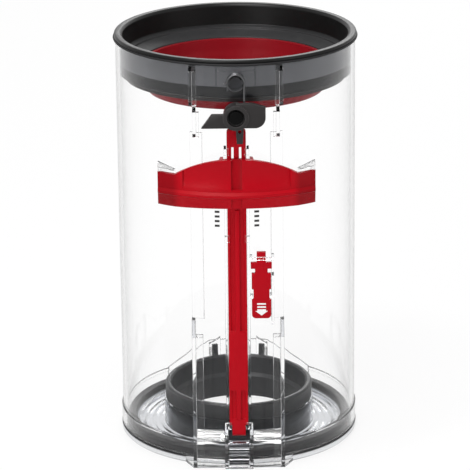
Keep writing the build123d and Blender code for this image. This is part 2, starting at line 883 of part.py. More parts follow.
# Release lever: a curved wing with a thumb ridge and a dished panel above it, open at the back and the top
lever_top = ridge_z + lever_crown
lever_angle = degrees(asin(lever_half_width / lever_inner))
dish_half = sqrt(dish_radius**2 - (dish_radius - dish_depth) ** 2)
dish_z = ridge_z + ridge_half + dish_half
with BuildPart() as release_lever:
    section = outline(
        front_plane(-lever_angle),
        (lever_inner, lever_bottom),
        (lever_outer - lever_ridge, lever_bottom),
        (lever_outer, ridge_z - ridge_half),
        (lever_outer + lever_ridge, ridge_z - ridge_half / 2),
        (lever_outer + lever_ridge, ridge_z),
        (lever_outer, ridge_z + ridge_half / 2),
        (lever_outer, lever_top),
        (lever_inner, lever_top),
    )
    revolve(section, axis=Axis.Z, revolution_arc=2 * lever_angle)
    with BuildSketch(front_plane(-dish_span)):
        with Locations((lever_outer + dish_radius - dish_depth, dish_z)):
            Circle(dish_radius)
        with Locations((lever_outer, dish_z)):
            Rectangle(lever_thickness, 2 * dish_half, mode=Mode.INTERSECT)
    revolve(axis=Axis.Z, revolution_arc=2 * dish_span, mode=Mode.SUBTRACT)

    # Front outline: square end blocks, arched middle
    with BuildSketch(Plane.XZ):
        with BuildLine():
            Polyline(
                (-block_inner, lever_bottom),
                (-lever_half_width, lever_bottom),
                (-lever_half_width, block_top),
                (-block_inner, block_top),
            )
            ThreePointArc((-block_inner, block_top), (0, lever_top), (block_inner, block_top))
            Polyline(
                (block_inner, block_top),
                (lever_half_width, block_top),
                (lever_half_width, lever_bottom),
                (block_inner, lever_bottom),
            )
            ThreePointArc(
                (block_inner, lever_bottom),
                (0, lever_bottom + lever_bottom_rise),
                (-block_inner, lever_bottom),
            )
        make_face()
    extrude(amount=lever_outer + lever_ridge, mode=Mode.INTERSECT)

    # Back: room for the rod and its guides, a hollow in each wing, and clips through the rod's slits
    relief = guide_outer + moving_gap
    slab((-relief, relief), (-rod_front, 0), (lever_bottom, lever_top), Mode.SUBTRACT)
    hollow_start = degrees(asin((relief + lever_skin) / lever_inner))
    hollow_radius = lever_outer - dish_depth - lever_skin
    hollow_floor = lever_bottom + lever_bottom_rise + lever_skin
    for start in (hollow_start, -lever_angle):
        hollow = outline(
            front_plane(start),
            (0, hollow_floor),
            (hollow_radius, hollow_floor),
            (hollow_radius, lever_top),
            (0, lever_top),
        )
        revolve(hollow, axis=Axis.Z, revolution_arc=lever_angle - hollow_start, mode=Mode.SUBTRACT)
    clip_half = slit_width / 2 - seat_gap
    both_sides((slit_offset - clip_half, slit_offset + clip_half), (-rod_front, -rod_back),
               (slit_bottom + seat_gap, slit_bottom + seat_gap + clip_length))

    # Stripe down the middle, from the dish to the top and below the ridge
    stripe_width = (-stripe_half, stripe_half)
    stripe_cut = (-lever_outer - lever_ridge, dish_depth + stripe_depth - lever_outer)
    slab(stripe_width, stripe_cut, (ridge_z + ridge_half, lever_top), Mode.SUBTRACT)
    slab(stripe_width, stripe_cut, (lever_bottom, ridge_z - ridge_half), Mode.SUBTRACT)

# Lever spring, between its anchor and the top of the rod's pocket
with BuildPart() as lever_spring:
    spring_length = pocket_top - anchor_top - 2 * seat_gap - lever_wire
    add(
        coil((0, -rod_back - pocket_depth / 2, anchor_top + seat_gap + lever_wire / 2), (0, 0, 1),
             (1, 0, 0), lever_coil_radius, lever_wire, spring_length / lever_coil_turns, lever_coil_turns)
    )

# Latch rocker: hub on its post, two wings, and a tail that hangs in front of the rod
hub_back = body_radius + hub_standoff
hub_front = hub_back + hub_depth
wing_back = hub_back + wing_setback
with BuildPart() as latch_rocker:
    with BuildSketch(Plane.XZ.offset(wing_back)):
        with BuildLine():
            Polyline(
                (-left_reach, latch_z - wing_below),
                (-left_shoulder, latch_z + left_above),
                (0, latch_z + left_above),
                (0, latch_z + right_above),
                (right_drop_x, latch_z + right_above),
                (right_reach, latch_z + right_above - right_drop),
                (right_reach, latch_z - wing_below + right_corner),
            )
            RadiusArc(
                (right_reach, latch_z - wing_below + right_corner),
                (right_reach - right_corner, latch_z - wing_below),
                right_corner,
            )
            Polyline(
                (right_reach - right_corner, latch_z - wing_below),
                (tail_right, latch_z - wing_below),
                (tail_right - tail_taper, latch_z - wing_below - tail_length),
                (tail_taper - tail_left, latch_z - wing_below - tail_length),
                (-tail_left, latch_z - wing_below),
                (-left_reach, latch_z - wing_below),
            )
        make_face()
        with Locations(((tail_right - tail_left) / 2, latch_z - hub_radius - tail_hole_radius)):
            Circle(tail_hole_radius, mode=Mode.SUBTRACT)
    extrude(amount=wing_thickness)
    with BuildSketch(Plane.XZ.offset(hub_back)):
        with Locations((0, latch_z)):
            Circle(hub_radius)
    extrude(amount=hub_depth)
    with BuildSketch(Plane.XZ.offset(wing_back - peg_length)):
        with Locations((peg_x, latch_z + peg_z)):
            Circle(peg_radius)
    extrude(amount=peg_length)
    with BuildSketch(Plane.XZ.offset(hub_front - hub_lip)):
        with Locations((0, latch_z)):
            Circle(hub_recess)
    extrude(amount=hub_lip, mode=Mode.SUBTRACT)
    with BuildSketch(Plane.XZ.offset(hub_back)):
        with Locations((0, latch_z)):
            Circle(latch_post_radius + pin_gap)
    extrude(amount=hub_depth, mode=Mode.SUBTRACT)

# Screw that keeps the rocker on its post
post_end = body_radius + latch_post_length
with BuildPart() as latch_screw:
    for start, length, radius in (
        (post_end, screw_head_height, screw_head_radius),
        (post_end - screw_length + moving_gap, screw_length - moving_gap, screw_shank_radius - seat_gap),
    ):
        with BuildSketch(Plane.XZ.offset(start)):
            with Locations((0, latch_z)):
                Circle(radius)
        extrude(amount=length)

# Latch spring: a torsion coil on the upper post, one leg on the rocker's peg, one on the rest
coil_front = wing_back - latch_wire / 2 - seat_gap
coil_back = coil_front - latch_coil_pitch * latch_coil_turns
with BuildPart() as latch_spring:
    add(
        coil((0, -coil_front, spring_z), (0, 1, 0), (1, 0, 0), spring_radius, latch_wire,
             latch_coil_pitch, latch_coil_turns)
    )
    wire_leg(
        (spring_radius, -coil_front, spring_z),
        (spring_radius, -coil_front, latch_z + peg_z),
        latch_wire,
    )
    wire_leg(
        (-spring_radius, -coil_back, spring_z),
        (-spring_radius, -coil_back, spring_z - latch_leg),
        latch_wire,
    )

# Runner button: stem, cross arms, neck, and a plate with stop notches in its sides
with BuildPart() as runner_button:
    notch_mid = notch_top - notch_height / 2
    with BuildSketch(Plane.XZ.offset(button_back)) as plate:
        for half, head, foot in (
            (stem_half, button_top, arm_top),
            (arm_half, arm_top, neck_top),
            (neck_half, neck_top, body_top_z),
            (button_half_width, body_top_z, button_bottom),
        ):
            with Locations((button_x, (head + foot) / 2)):
                Rectangle(2 * half, head - foot)
        with Locations((button_left, notch_mid), (button_right, notch_mid)):
            Rectangle(2 * notch_depth, notch_height, mode=Mode.SUBTRACT)
        fillet(plate.vertices().group_by(Axis.Y)[0], button_corner)
    extrude(amount=button_thickness)

# Door catch: hangs on its pin, with a ramp for the rod's tongue and a nose at the keeper
with BuildPart() as door_catch:
    arm_front = -catch_y - catch_front
    arm_back = catch_back - catch_y
    ramp_back = catch_ramp_reach - catch_y
    nose_tip = -ring_radius - keeper_reach - moving_gap
    with BuildSketch(Plane.YZ):
        with BuildLine():
            Polyline(
                (arm_front, catch_z),
                (arm_front, catch_foot),
                (nose_tip, catch_foot),
                (nose_tip, catch_foot + catch_nose),
                (arm_back, catch_foot + 2 * catch_nose),
                (arm_back, catch_ramp_bottom),
                (ramp_back, catch_ramp_bottom),
                (ramp_back, (catch_ramp_bottom + catch_ramp_top) / 2),
                (arm_back, catch_ramp_top),
                (arm_back, catch_z),
                close=True,
            )
        make_face()
        with Locations((-catch_y, catch_z)):
            Circle(catch_knuckle)
    extrude(amount=catch_half, both=True)
    cross_bore(-catch_y, catch_z, catch_pin_radius + pin_gap, catch_half)

with BuildPart() as catch_pin:
    with Locations(Location((0, -catch_y, catch_z), (0, 90, 0))):
        Cylinder(catch_pin_radius, 2 * bracket_outer)

pieces = {
    "bin_body": bin_body,
    "mouth_collar": mouth_collar,
    "mouth_seal": mouth_seal,
    "shroud_wiper": shroud_wiper,
    "wiper_retainer": wiper_retainer,
    "latch_screw": latch_screw,
    "latch_spring": latch_spring,
    "lever_spring": lever_spring,
    "hinge_pin": hinge_pin,
    "catch_pin": catch_pin,
    "push_rod": push_rod,
    "release_lever": release_lever,
    "latch_rocker": latch_rocker,
    "runner_button": runner_button,
    "door_catch": door_catch,
    "door_ring": door_ring,
    "door_window": door_window,
    "door_seal": door_seal,
    "inlet_sleeve": inlet_sleeve,
    "door_spring": door_spring,
}
for name, piece in pieces.items():
    piece.part.label = name
    export_step(piece.part, f"parts/{name}.step")
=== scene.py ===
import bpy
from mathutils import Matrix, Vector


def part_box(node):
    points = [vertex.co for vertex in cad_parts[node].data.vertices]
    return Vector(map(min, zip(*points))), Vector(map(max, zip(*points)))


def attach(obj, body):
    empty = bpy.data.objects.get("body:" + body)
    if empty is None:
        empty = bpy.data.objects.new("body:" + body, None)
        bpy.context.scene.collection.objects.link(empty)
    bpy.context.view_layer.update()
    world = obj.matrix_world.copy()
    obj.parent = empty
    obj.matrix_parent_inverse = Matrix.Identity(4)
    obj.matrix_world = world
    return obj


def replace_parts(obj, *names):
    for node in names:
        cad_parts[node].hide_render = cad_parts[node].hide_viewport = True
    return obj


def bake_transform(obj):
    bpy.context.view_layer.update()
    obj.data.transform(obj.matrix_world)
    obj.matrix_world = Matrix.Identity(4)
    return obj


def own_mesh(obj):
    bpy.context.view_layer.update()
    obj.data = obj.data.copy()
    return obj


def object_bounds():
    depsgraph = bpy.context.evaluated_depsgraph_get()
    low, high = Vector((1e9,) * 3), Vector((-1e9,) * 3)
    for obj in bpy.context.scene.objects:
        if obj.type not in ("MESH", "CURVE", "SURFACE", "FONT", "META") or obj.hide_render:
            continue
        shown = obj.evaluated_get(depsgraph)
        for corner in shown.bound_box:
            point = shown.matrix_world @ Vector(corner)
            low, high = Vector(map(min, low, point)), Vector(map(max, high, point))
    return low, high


bl_info = {
    "name": "Dust Bin Dressing",
    "version": (1, 0, 0),
    "blender": (4, 5, 0),
    "location": "View3D > Sidebar > Dust Bin",
    "description": "Dresses the clear dust bin: softened mouldings, wound springs, finishes and a stage",
    "category": "Object",
}

from math import cos, pi, radians, sin

import bmesh
import bpy
from bpy.props import FloatProperty, FloatVectorProperty, IntProperty, PointerProperty
from mathutils import Matrix, Vector

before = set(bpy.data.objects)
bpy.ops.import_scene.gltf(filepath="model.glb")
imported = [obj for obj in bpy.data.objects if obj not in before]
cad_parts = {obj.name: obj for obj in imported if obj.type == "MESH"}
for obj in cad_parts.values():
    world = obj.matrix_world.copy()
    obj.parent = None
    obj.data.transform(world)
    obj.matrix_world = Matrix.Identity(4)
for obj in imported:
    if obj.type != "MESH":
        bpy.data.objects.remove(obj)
CAD_BOX = [list(corner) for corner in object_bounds()]
MM = 0.001
WHITE = (1.0, 1.0, 1.0, 1.0)
IN_PLAN = (1.0, 1.0, 0.0)

# Meshes: reach of a weld, angle under which faces are one, and angles over which edges are rounded or crisp
WELD = 2e-6
FLAT_ANGLE = radians(0.4)
ROUND_ANGLE = radians(24.0)
CRISP_ANGLE = radians(35.0)

# Segments of the rounding on rims and on the screw
RIM_SEGMENTS = 3

# Moulded finishes: roughness, width and depth of the grain, drift of the tone, and gloss
RED = {"rough": 0.32, "grain": 0.6 * MM, "depth": 0.005 * MM, "drift": 0.07, "gloss": 0.08}
BUTTON_RED = {**RED, "rough": 0.34}
SILICONE = {"rough": 0.42, "grain": 1.0 * MM, "depth": 0.006 * MM, "drift": 0.08, "gloss": 0.12}
MOUTH_RUBBER = {"rough": 0.6, "grain": 0.8 * MM, "depth": 0.01 * MM, "drift": 0.12, "gloss": 0.2}
DOOR_RUBBER = {**MOUTH_RUBBER, "rough": 0.55, "gloss": 0.25}
RETAINER = {"rough": 0.45, "grain": 0.5 * MM, "depth": 0.01 * MM, "drift": 0.12, "gloss": 0.25}
ROCKER = {**RETAINER, "rough": 0.36, "depth": 0.004 * MM}
SLEEVE = {**RETAINER, "rough": 0.38, "depth": 0.003 * MM, "gloss": 0.22}

# Swing of the roughness with the fine grain and with the flow of the melt, and the shape of that flow
FINE_SWING = 0.16
FLOW_SWING = 0.10
FLOW_WIDTH = 18 * MM
FLOW_STRETCH = (1.0, 1.0, 0.35)

# Lines along corners: their rise, samples and share, and their tones: painted shade on red and painted
# highlight on the rocker
LINE_RISE = 3.4
LINE_SAMPLES = 6
CORNER_PAINT_SHARE = 0.75
RED_CORNER_SHADE = 0.12
ROCKER_CORNER_HIGHLIGHT = 9.0

# Painted shade on red: its share and tone, and how much of it the lever's stripe has
PAINTED_SHADE_SHARE = 0.4
PAINTED_SHADE_TONE = 0.1
STRIPE_SHARE = 0.6

# Collar: its grain and gloss, the bands of painted lamp reflection on its outside, the painted shadows behind
# the rails and the boss, and the fade of the painted light on its funnel
COLLAR_ROUGH = 0.34
COLLAR_GLOSS = 0.16
COLLAR_GRAIN = 0.5 * MM
COLLAR_DEPTH = 0.008 * MM
REFLECTION_BAND_WIDTH = 16 * MM
REFLECTION_BAND_SWING = 0.4
SHADOW_TONE = 0.12
SHADOW_FADE = 0.8 * MM
RAIL_SHADOW_SHARE = 0.75
BOSS_SHADOW_SHARE = 0.5
FUNNEL_FADE = 0.6 * MM

# Steel and ink: widths of streaks, stains and specks, roughness and how far it rises, depth of the streaks
STREAK_WIDTH = 0.6 * MM
STREAK_DEPTH = 0.004 * MM
STAIN_WIDTH = 4 * MM
STEEL_ROUGH = 0.18
STEEL_RISE = 0.16
SPECK_WIDTH = 0.4 * MM
INK_ROUGH = 0.45
INK_RISE = 0.15

# Clear plastic: bending of light, tint of reflections, light let through, painted shade at edges and how fast
# it falls
CLEAR_IOR = 1.49
CLEAR_GLINT = (0.3, 0.3, 0.3, 1.0)
CLEAR_LIGHT = (0.97, 0.97, 0.97, 1.0)
CLEAR_ROUGH = 0.005
SCUFF_RISE = 0.02
SCUFF_WIDTH = 1.1 * MM
RIPPLE_WIDTH = 30 * MM
RIPPLE_DEPTH = 0.02 * MM
EDGE_SHADE_SHARE = 0.9
TUBE_FALL = 5.0
DOOR_FALL = 4.0
CALM_SHARE = 0.6
CALM_FADE = 10 * MM

# Stage: lamps by name, place, side and power, the floor, the camera's sensor and the bounces of light
LAMPS = (
    ("top_lamp", (-0.3, -0.5, 1.7), 0.8, 22.0),
    ("left_lamp", (-0.8, -1.5, 0.6), 0.7, 8.0),
    ("right_lamp", (1.3, -0.9, 0.6), 0.8, 4.0),
    ("back_lamp", (0.2, 1.3, 1.0), 0.8, 8.0),
)
FLOOR_HALF = 4.0
FLOOR_SPECK = 20 * MM
FLOOR_ROUGH = 0.8
FLOOR_GLOW = 0.8
SENSOR = 36.0
BOUNCES = 40


def colour(name, description, default):
    """A linear RGB colour setting."""
    return FloatVectorProperty(
        name=name, description=description, default=default, size=3, subtype="COLOR", min=0.0, max=1.0
    )


def number(name, description, default, **rest):
    """A plain number setting."""
    return FloatProperty(name=name, description=description, default=default, **rest)


def length(name, description, default):
    """A length setting, in metres."""
    return number(name, description, default, unit="LENGTH", precision=5, min=0.0)


def count(name, description, default, low):
    """A whole number setting and its lowest value."""
    return IntProperty(name=name, description=description, default=default, min=low)


def spot(name, description, default):
    """A place in the frame, in metres."""
    return FloatVectorProperty(
        name=name,
        description=description,
        default=default,
        size=3,
        subtype="TRANSLATION",
        unit="LENGTH",
        precision=5,
    )


class DustBinColours(bpy.types.PropertyGroup):
    """Colours of the mouldings."""

    clear_tube: colour("Clear tube", "Tint of the clear tube", (1.0, 1.0, 1.0))
    # Painted shade: a grey tint on the clear door that stands in for the dark seal seen through it
    shaded_clear_door: colour("Clear door", "Tint of the clear door", (0.74, 0.755, 0.785))
    # Painted shade: a dark tint on the clear catch that stands in for its shading
    shaded_clear_catch: colour("Clear catch", "Tint of the clear catch at the runner's foot", (0.42, 0.425, 0.44))
    # Painted shade: grey given to clear plastic seen edge on and along its corners
    clear_edge_shade: colour("Clear edge", "Grey of the clear plastic seen edge on", (0.045, 0.048, 0.054))
    collar: colour("Collar", "Dark grey of the mouth collar", (0.005, 0.005, 0.005))
    # Painted light: the collar's grey made paler on its funnel, which faces up to the lamps
    funnel: colour("Collar funnel", "Grey of the funnel inside the collar", (0.024, 0.024, 0.025))
    # Painted reflection: the collar's dark grey made paler where the clear wall lies over it
    skirt_reflection: colour("Collar outside", "Grey of the collar behind the clear wall", (0.115, 0.118, 0.128))
    dark: colour("Dark parts", "Dark mouldings: retainer and latch rocker", (0.019, 0.017, 0.017))
    sleeve: colour("Sleeve", "Dark grey of the inlet sleeve", (0.021, 0.022, 0.024))
    rubber: colour("Rubber", "Black of the seals", (0.014, 0.014, 0.015))
    wiper: colour("Wiper", "Red of the silicone wiper", (0.225, 0.003, 0.008))
    red: colour("Red parts", "Red of the lever, rod and button", (0.41, 0.0015, 0.008))
    steel: colour("Steel", "Springs and pins", (0.28, 0.28, 0.29))
    latch_steel: colour("Latch spring", "Darkened steel of the latch's spring", (0.10, 0.10, 0.104))
    screw: colour("Screw", "Blackened steel of the screw", (0.008, 0.008, 0.008))
    tick: colour("Ticks", "Black of the ticks printed on the tube", (0.02, 0.02, 0.02))
    sign: colour("Sign", "White of the arrow on the button", (0.86, 0.86, 0.86))


class DustBinSizes(bpy.types.PropertyGroup):
    """Sizes of the details that are added here."""

    edge: length("Edge", "Rounding of the moulded edges", 0.25 * MM)
    rim_edge: length("Rim edge", "Rounding of the collar's and sleeve's edges", 0.4 * MM)
    # Painted lines along moulded corners: shade on the red parts, highlight on the latch rocker
    outline: length("Outline", "Width of the lines along moulded corners", 0.5 * MM)
    # Painted shade along the clear plastic's corners: its widths on the tube and door, and the height above
    # which it is faint on the runner
    tube_corner: length("Tube corner", "Width of the grey lines along the tube's corners", 0.5 * MM)
    door_corner: length("Door corner", "Width of the grey lines along the door's corners", 0.4 * MM)
    rail_calm: length("Rail calm", "Height above which the runner's corners show faintly", 72.0 * MM)
    floor_ring: length("Floor ring", "From one ring of the clear floor to the next", 3.2 * MM)
    floor_ripple: length("Floor ripple", "Depth of the rings in the clear floor", 0.09 * MM)
    # The collar's outside behind the clear wall carries a painted reflection of the wall, fullest above the
    # skirt step
    skirt_radius: length("Skirt radius", "Radius outside which the collar lies on the clear wall", 54.9 * MM)
    skirt_step: length("Skirt step", "Height above which the collar's outside is paler", 188.0 * MM)
    skirt_top: length("Skirt top", "Height of the clear tube's upper edge", 198.0 * MM)
    # Below this height the collar's inside has the painted light of its funnel
    funnel_top: length("Funnel top", "Height below which the collar's inside narrows", 190.6 * MM)
    # Painted shade on the collar's outside behind the rails and behind the sides of the spring's boss
    rail_middle: length("Rail middle", "From the middle to a rail, which darkens the collar", 20.0 * MM)
    rail_shade: length("Rail shade", "Half width of the dark band behind a rail", 2.0 * MM)
    boss_side: length("Boss side", "From the middle to the sides of the spring's boss", 9.0 * MM)
    boss_shade: length("Boss shade", "Half width of the dark band behind a side of the boss", 0.7 * MM)
    # Painted shade on the lever: its darker end blocks and the darker stripe down its middle above the ridge
    lever_block: length("Lever block", "From the middle to the lever's deeper red end blocks", 27.0 * MM)
    lever_fade: length("Lever fade", "Width over which the red of the end blocks deepens", 3.0 * MM)
    lever_stripe: length("Lever stripe", "Half width of the stripe down the lever's middle", 2.4 * MM)
    lever_ridge: length("Lever ridge", "Height of the crease above the lever's ridge", 140.4 * MM)
    sign_rise: length("Sign rise", "From the button's lower edge to the arrow's tip", 1.5 * MM)
    sign_bar: length("Sign bar", "Width of the bars and of the arrow's stem", 4.1 * MM)
    sign_head: length("Sign head", "Width of the arrow's head", 6.1 * MM)
    sign_point: length("Sign point", "Height of the arrow's head", 2.35 * MM)
    sign_line: length("Sign line", "Height of one bar", 0.8 * MM)
    sign_gap: length("Sign gap", "Gap between two bars", 0.75 * MM)
    ink: length("Ink", "Thickness of the printed ink", 0.03 * MM)
    tube_radius: length("Tube radius", "Outside of the clear tube", 58.0 * MM)
    tick_inner: length("Tick inner end", "From the middle to the inner ends of the ticks", 8.2 * MM)
    tick_width: length("Tick width", "Width of one tick", 2.3 * MM)
    tick_height: length("Tick height", "Height of one tick", 1.1 * MM)
    tick_top: length("Tick top", "Height of the uppermost tick", 127.9 * MM)
    tick_step: length("Tick step", "From one tick to the next", 2.3 * MM)
    ticks: count("Ticks", "Ticks on each side of the rod", 4, 1)
    wire_sides: count("Wire sides", "Sides of a spring's wire", 12, 6)
    turn_steps: count("Steps per turn", "Steps in one turn of a spring", 40, 12)


class DustBinSprings(bpy.types.PropertyGroup):
    """Places and windings of the three springs."""

    latch_centre: spot("Latch coil", "Front end of the latch spring's axis", (0.0, -63.8 * MM, 191.6 * MM))
    latch_radius: length("Latch radius", "Radius of the latch spring's coil", 3.85 * MM)
    latch_wire: length("Latch wire", "Wire of the latch spring", 1.0 * MM)
    latch_pitch: length("Latch pitch", "Pitch of the latch spring", 1.08 * MM)
    latch_turns: number("Latch turns", "Turns of the latch spring", 3.5)
    latch_long_leg: length("Latch long leg", "Leg to the rocker's peg", 10.4 * MM)
    latch_short_leg: length("Latch short leg", "Leg at the rest on the tube", 4.5 * MM)
    door_centre: spot("Door coil", "Left end of the door spring's axis", (-3.59375 * MM, 63.0 * MM, 1.2 * MM))
    door_radius: length("Door radius", "Radius of the door spring's coil", 2.0 * MM)
    door_wire: length("Door wire", "Wire of the door spring", 0.7 * MM)
    door_pitch: length("Door pitch", "Pitch of the door spring", 1.25 * MM)
    door_turns: number("Door turns", "Turns of the door spring", 5.75)
    door_ring_leg: length("Door ring leg", "Leg on the door's ring", 4.1 * MM)
    door_tube_leg: length("Door tube leg", "Leg on the tube", 9.0 * MM)
    lever_centre: spot("Lever coil", "Lower end of the lever spring's axis", (0.0, -60.25 * MM, 87.725 * MM))
    lever_radius: length("Lever radius", "Radius of the lever spring's coil", 0.9 * MM)
    lever_wire: length("Lever wire", "Wire of the lever spring", 0.45 * MM)
    lever_pitch: length("Lever pitch", "Pitch of the lever spring", 3.63125 * MM)
    lever_turns: number("Lever turns", "Turns of the lever spring", 8.0)
    lever_anchor: spot("Lever anchor", "Fixed end of the lever spring", (0.0, -60.25 * MM, 87.4 * MM))
    lever_squash: number("Lever squash", "Share of its length that is left", 0.69)


class DustBinStage(bpy.types.PropertyGroup):
    """Floor, light and camera."""

    floor: colour("Floor", "Pale floor", (0.90, 0.90, 0.90))
    ambient: number("Ambient", "Strength of the soft light from all round", 0.24)
    focal: number("Lens", "Focal length", 220.2, unit="CAMERA")
    distance: length("Distance", "From the camera to the target", 1.4197)
    target: length("Target height", "Height of the point that the camera looks at", 0.09699)
    elevation: number("Elevation", "Camera above the horizon", radians(18.143), subtype="ANGLE")
    roll: number("Roll", "Turn about the line of sight", radians(-0.584), subtype="ANGLE")
    shift: number("Shift", "Sideways shift of the frame", -0.0045, precision=4)


class Wire:
    """A socket of a finish. Sums, products and powers of wires become Math nodes."""

    def __init__(self, finish, socket):
        self.finish = finish
        self.socket = socket

    def maths(self, operation, first, second=0.0):
        return self.finish.add("ShaderNodeMath", "Value", {"operation": operation}, {0: first, 1: second})

    def __add__(self, other):
        return self.maths("ADD", self, other)

    def __radd__(self, other):
        return self.maths("ADD", other, self)

    def __sub__(self, other):
        return self.maths("SUBTRACT", self, other)

    def __rsub__(self, other):
        return self.maths("SUBTRACT", other, self)

    def __mul__(self, other):
        return self.maths("MULTIPLY", self, other)

    def __rmul__(self, other):
        return self.maths("MULTIPLY", other, self)

    def __pow__(self, other):
        return self.maths("POWER", self, other)

    def __rpow__(self, other):
        return self.maths("POWER", other, self)

    def __abs__(self):
        return self.maths("ABSOLUTE", self)

    def sine(self):
        return self.maths("SINE", self)

    def most(self, other):
        return self.maths("MAXIMUM", self, other)

    def least(self, other):
        return self.maths("MINIMUM", self, other)

    def step(self, rise=0.25 * MM):
        """One for a length above zero and zero below it, with a soft rise."""
        return (self * (1.0 / rise)).least(1.0).most(0.0)


class Finish:
    """The nodes of a material or of the world."""

    def __init__(self, owner):
        owner.use_nodes = True
        self.owner = owner
        self.tree = owner.node_tree
        self.tree.nodes.clear()

    def add(self, kind, output, settings=None, sockets=None):
        """Adds a node, with its settings set before its sockets, and gives the wire from one output."""
        node = self.tree.nodes.new(kind)
        for key, value in (settings or {}).items():
            setattr(node, key, value)
        for key, value in (sockets or {}).items():
            if isinstance(value, Wire):
                self.tree.links.new(value.socket, node.inputs[key])
            else:
                node.inputs[key].default_value = value
        return Wire(self, node.outputs[output]) if output is not None else None

    def vector(self, operation, output, *parts):
        """Vector maths on one or two vectors."""
        return self.add("ShaderNodeVectorMath", output, {"operation": operation}, dict(enumerate(parts)))

    def place(self):
        """The place on the piece."""
        return self.add("ShaderNodeTexCoord", "Object")

    def along(self, axis):
        """The place along an axis."""
        return self.add("ShaderNodeSeparateXYZ", axis, {}, {0: self.place()})

    def radius(self):
        """The distance from the tube's axis."""
        return self.vector("LENGTH", "Value", self.vector("MULTIPLY", "Vector", self.place(), IN_PLAN))

    def near(self, centre, radius):
        """One within a radius of a point, fading to zero just inside it."""
        return (radius - self.vector("DISTANCE", "Value", self.place(), centre)).step()

    def noise(self, grain, detail=3.0, scale=(1.0, 1.0, 1.0)):
        """Soft noise whose blotches are about a grain wide, in metres."""
        place = self.add("ShaderNodeMapping", "Vector", {}, {"Vector": self.place(), "Scale": scale})
        sockets = {"Vector": place, "Scale": 1.0 / grain, "Detail": detail}
        return self.add("ShaderNodeTexNoise", "Fac", {}, sockets)

    def mix(self, factor, first, second):
        """A colour between two colours."""
        return self.add("ShaderNodeMix", 2, {"data_type": "RGBA"}, {0: factor, 6: first, 7: second})

    def bump(self, height, depth, base=None):
        """A normal from a height of a given depth, in metres, on the surface's own normal or another one."""
        sockets = {"Height": height, "Strength": 1.0, "Distance": depth}
        if base is not None:
            sockets["Normal"] = base
        return self.add("ShaderNodeBump", "Normal", {}, sockets)

    def corners(self, width):
        """The normal of softly rounded corners, and a line of about a width along them."""
        rounded = self.add("ShaderNodeBevel", "Normal", {"samples": LINE_SAMPLES}, {"Radius": width})
        straight = self.add("ShaderNodeNewGeometry", "Normal")
        level = self.vector("DOT_PRODUCT", "Value", rounded, straight)
        return rounded, (LINE_RISE * (1.0 - level)).least(1.0)

    def principled(self, sockets):
        return self.add("ShaderNodeBsdfPrincipled", "BSDF", {}, sockets)

    def blend(self, factor, first, second):
        """A shader between two shaders."""
        return self.add("ShaderNodeMixShader", "Shader", {}, {0: factor, 1: first, 2: second})

    def ray(self, *kinds):
        """One where a ray is of one of the kinds, else zero."""
        flags = [self.add("ShaderNodeLightPath", f"Is {kind} Ray") for kind in kinds]
        found = flags[0]
        for flag in flags[1:]:
            found = found.most(flag)
        return found

    def end(self, shader):
        """Ends the tree with a shader."""
        kind = "World" if isinstance(self.owner, bpy.types.World) else "Material"
        self.add("ShaderNodeOutput" + kind, None, {}, {"Surface": shader})
        return self.owner


def new_finish(name):
    """A finish for a new material."""
    return Finish(bpy.data.materials.new(name))


def shade(rgb, factor=1.0):
    """A colour made lighter or darker, as a socket's value."""
    return (*[min(1.0, part * factor) for part in rgb], 1.0)


def moulded(name, rgb, rough, grain, depth, drift, gloss, outline=0.0, corner_paint_tone=RED_CORNER_SHADE, painted_shade=None):
    """Opaque moulded plastic or rubber: a fine eroded grain, and tone that drifts with the flow of the melt.
    Corners may be outlined in another tone, painted shade when darker and a painted highlight when lighter,
    and a mask may give places of painted shade."""
    look = new_finish(name)
    fine = look.noise(grain, detail=2.0)
    flow = look.noise(FLOW_WIDTH, detail=4.0, scale=FLOW_STRETCH)
    toned = look.mix(flow, shade(rgb, 1.0 - drift), shade(rgb, 1.0 + drift))
    if outline > 0.0:
        # Painted lines along corners: shade on red, highlight on the rocker
        toned = look.mix(CORNER_PAINT_SHARE * look.corners(outline)[1], toned, shade(rgb, corner_paint_tone))
    if painted_shade is not None:
        # Painted shade where the mask is set
        toned = look.mix(PAINTED_SHADE_SHARE * painted_shade(look), toned, shade(rgb, PAINTED_SHADE_TONE))
    body = look.principled({
        "Base Color": toned,
        "Roughness": rough + (fine - 0.5) * FINE_SWING + (flow - 0.5) * FLOW_SWING,
        "Specular IOR Level": gloss,
        "Normal": look.bump(fine, depth),
    })
    return look.end(body)


def lever_shade(size):
    """A mask of painted shade on the lever: its end blocks, and the stripe down its middle above the ridge.
    """
    def mask(look):
        aside = abs(look.along("X"))
        ends = (aside - size.lever_block).step(size.lever_fade)
        stripe = (size.lever_stripe - aside).step() * (look.along("Z") - size.lever_ridge).step()
        return ends.most(STRIPE_SHARE * stripe)
    return mask


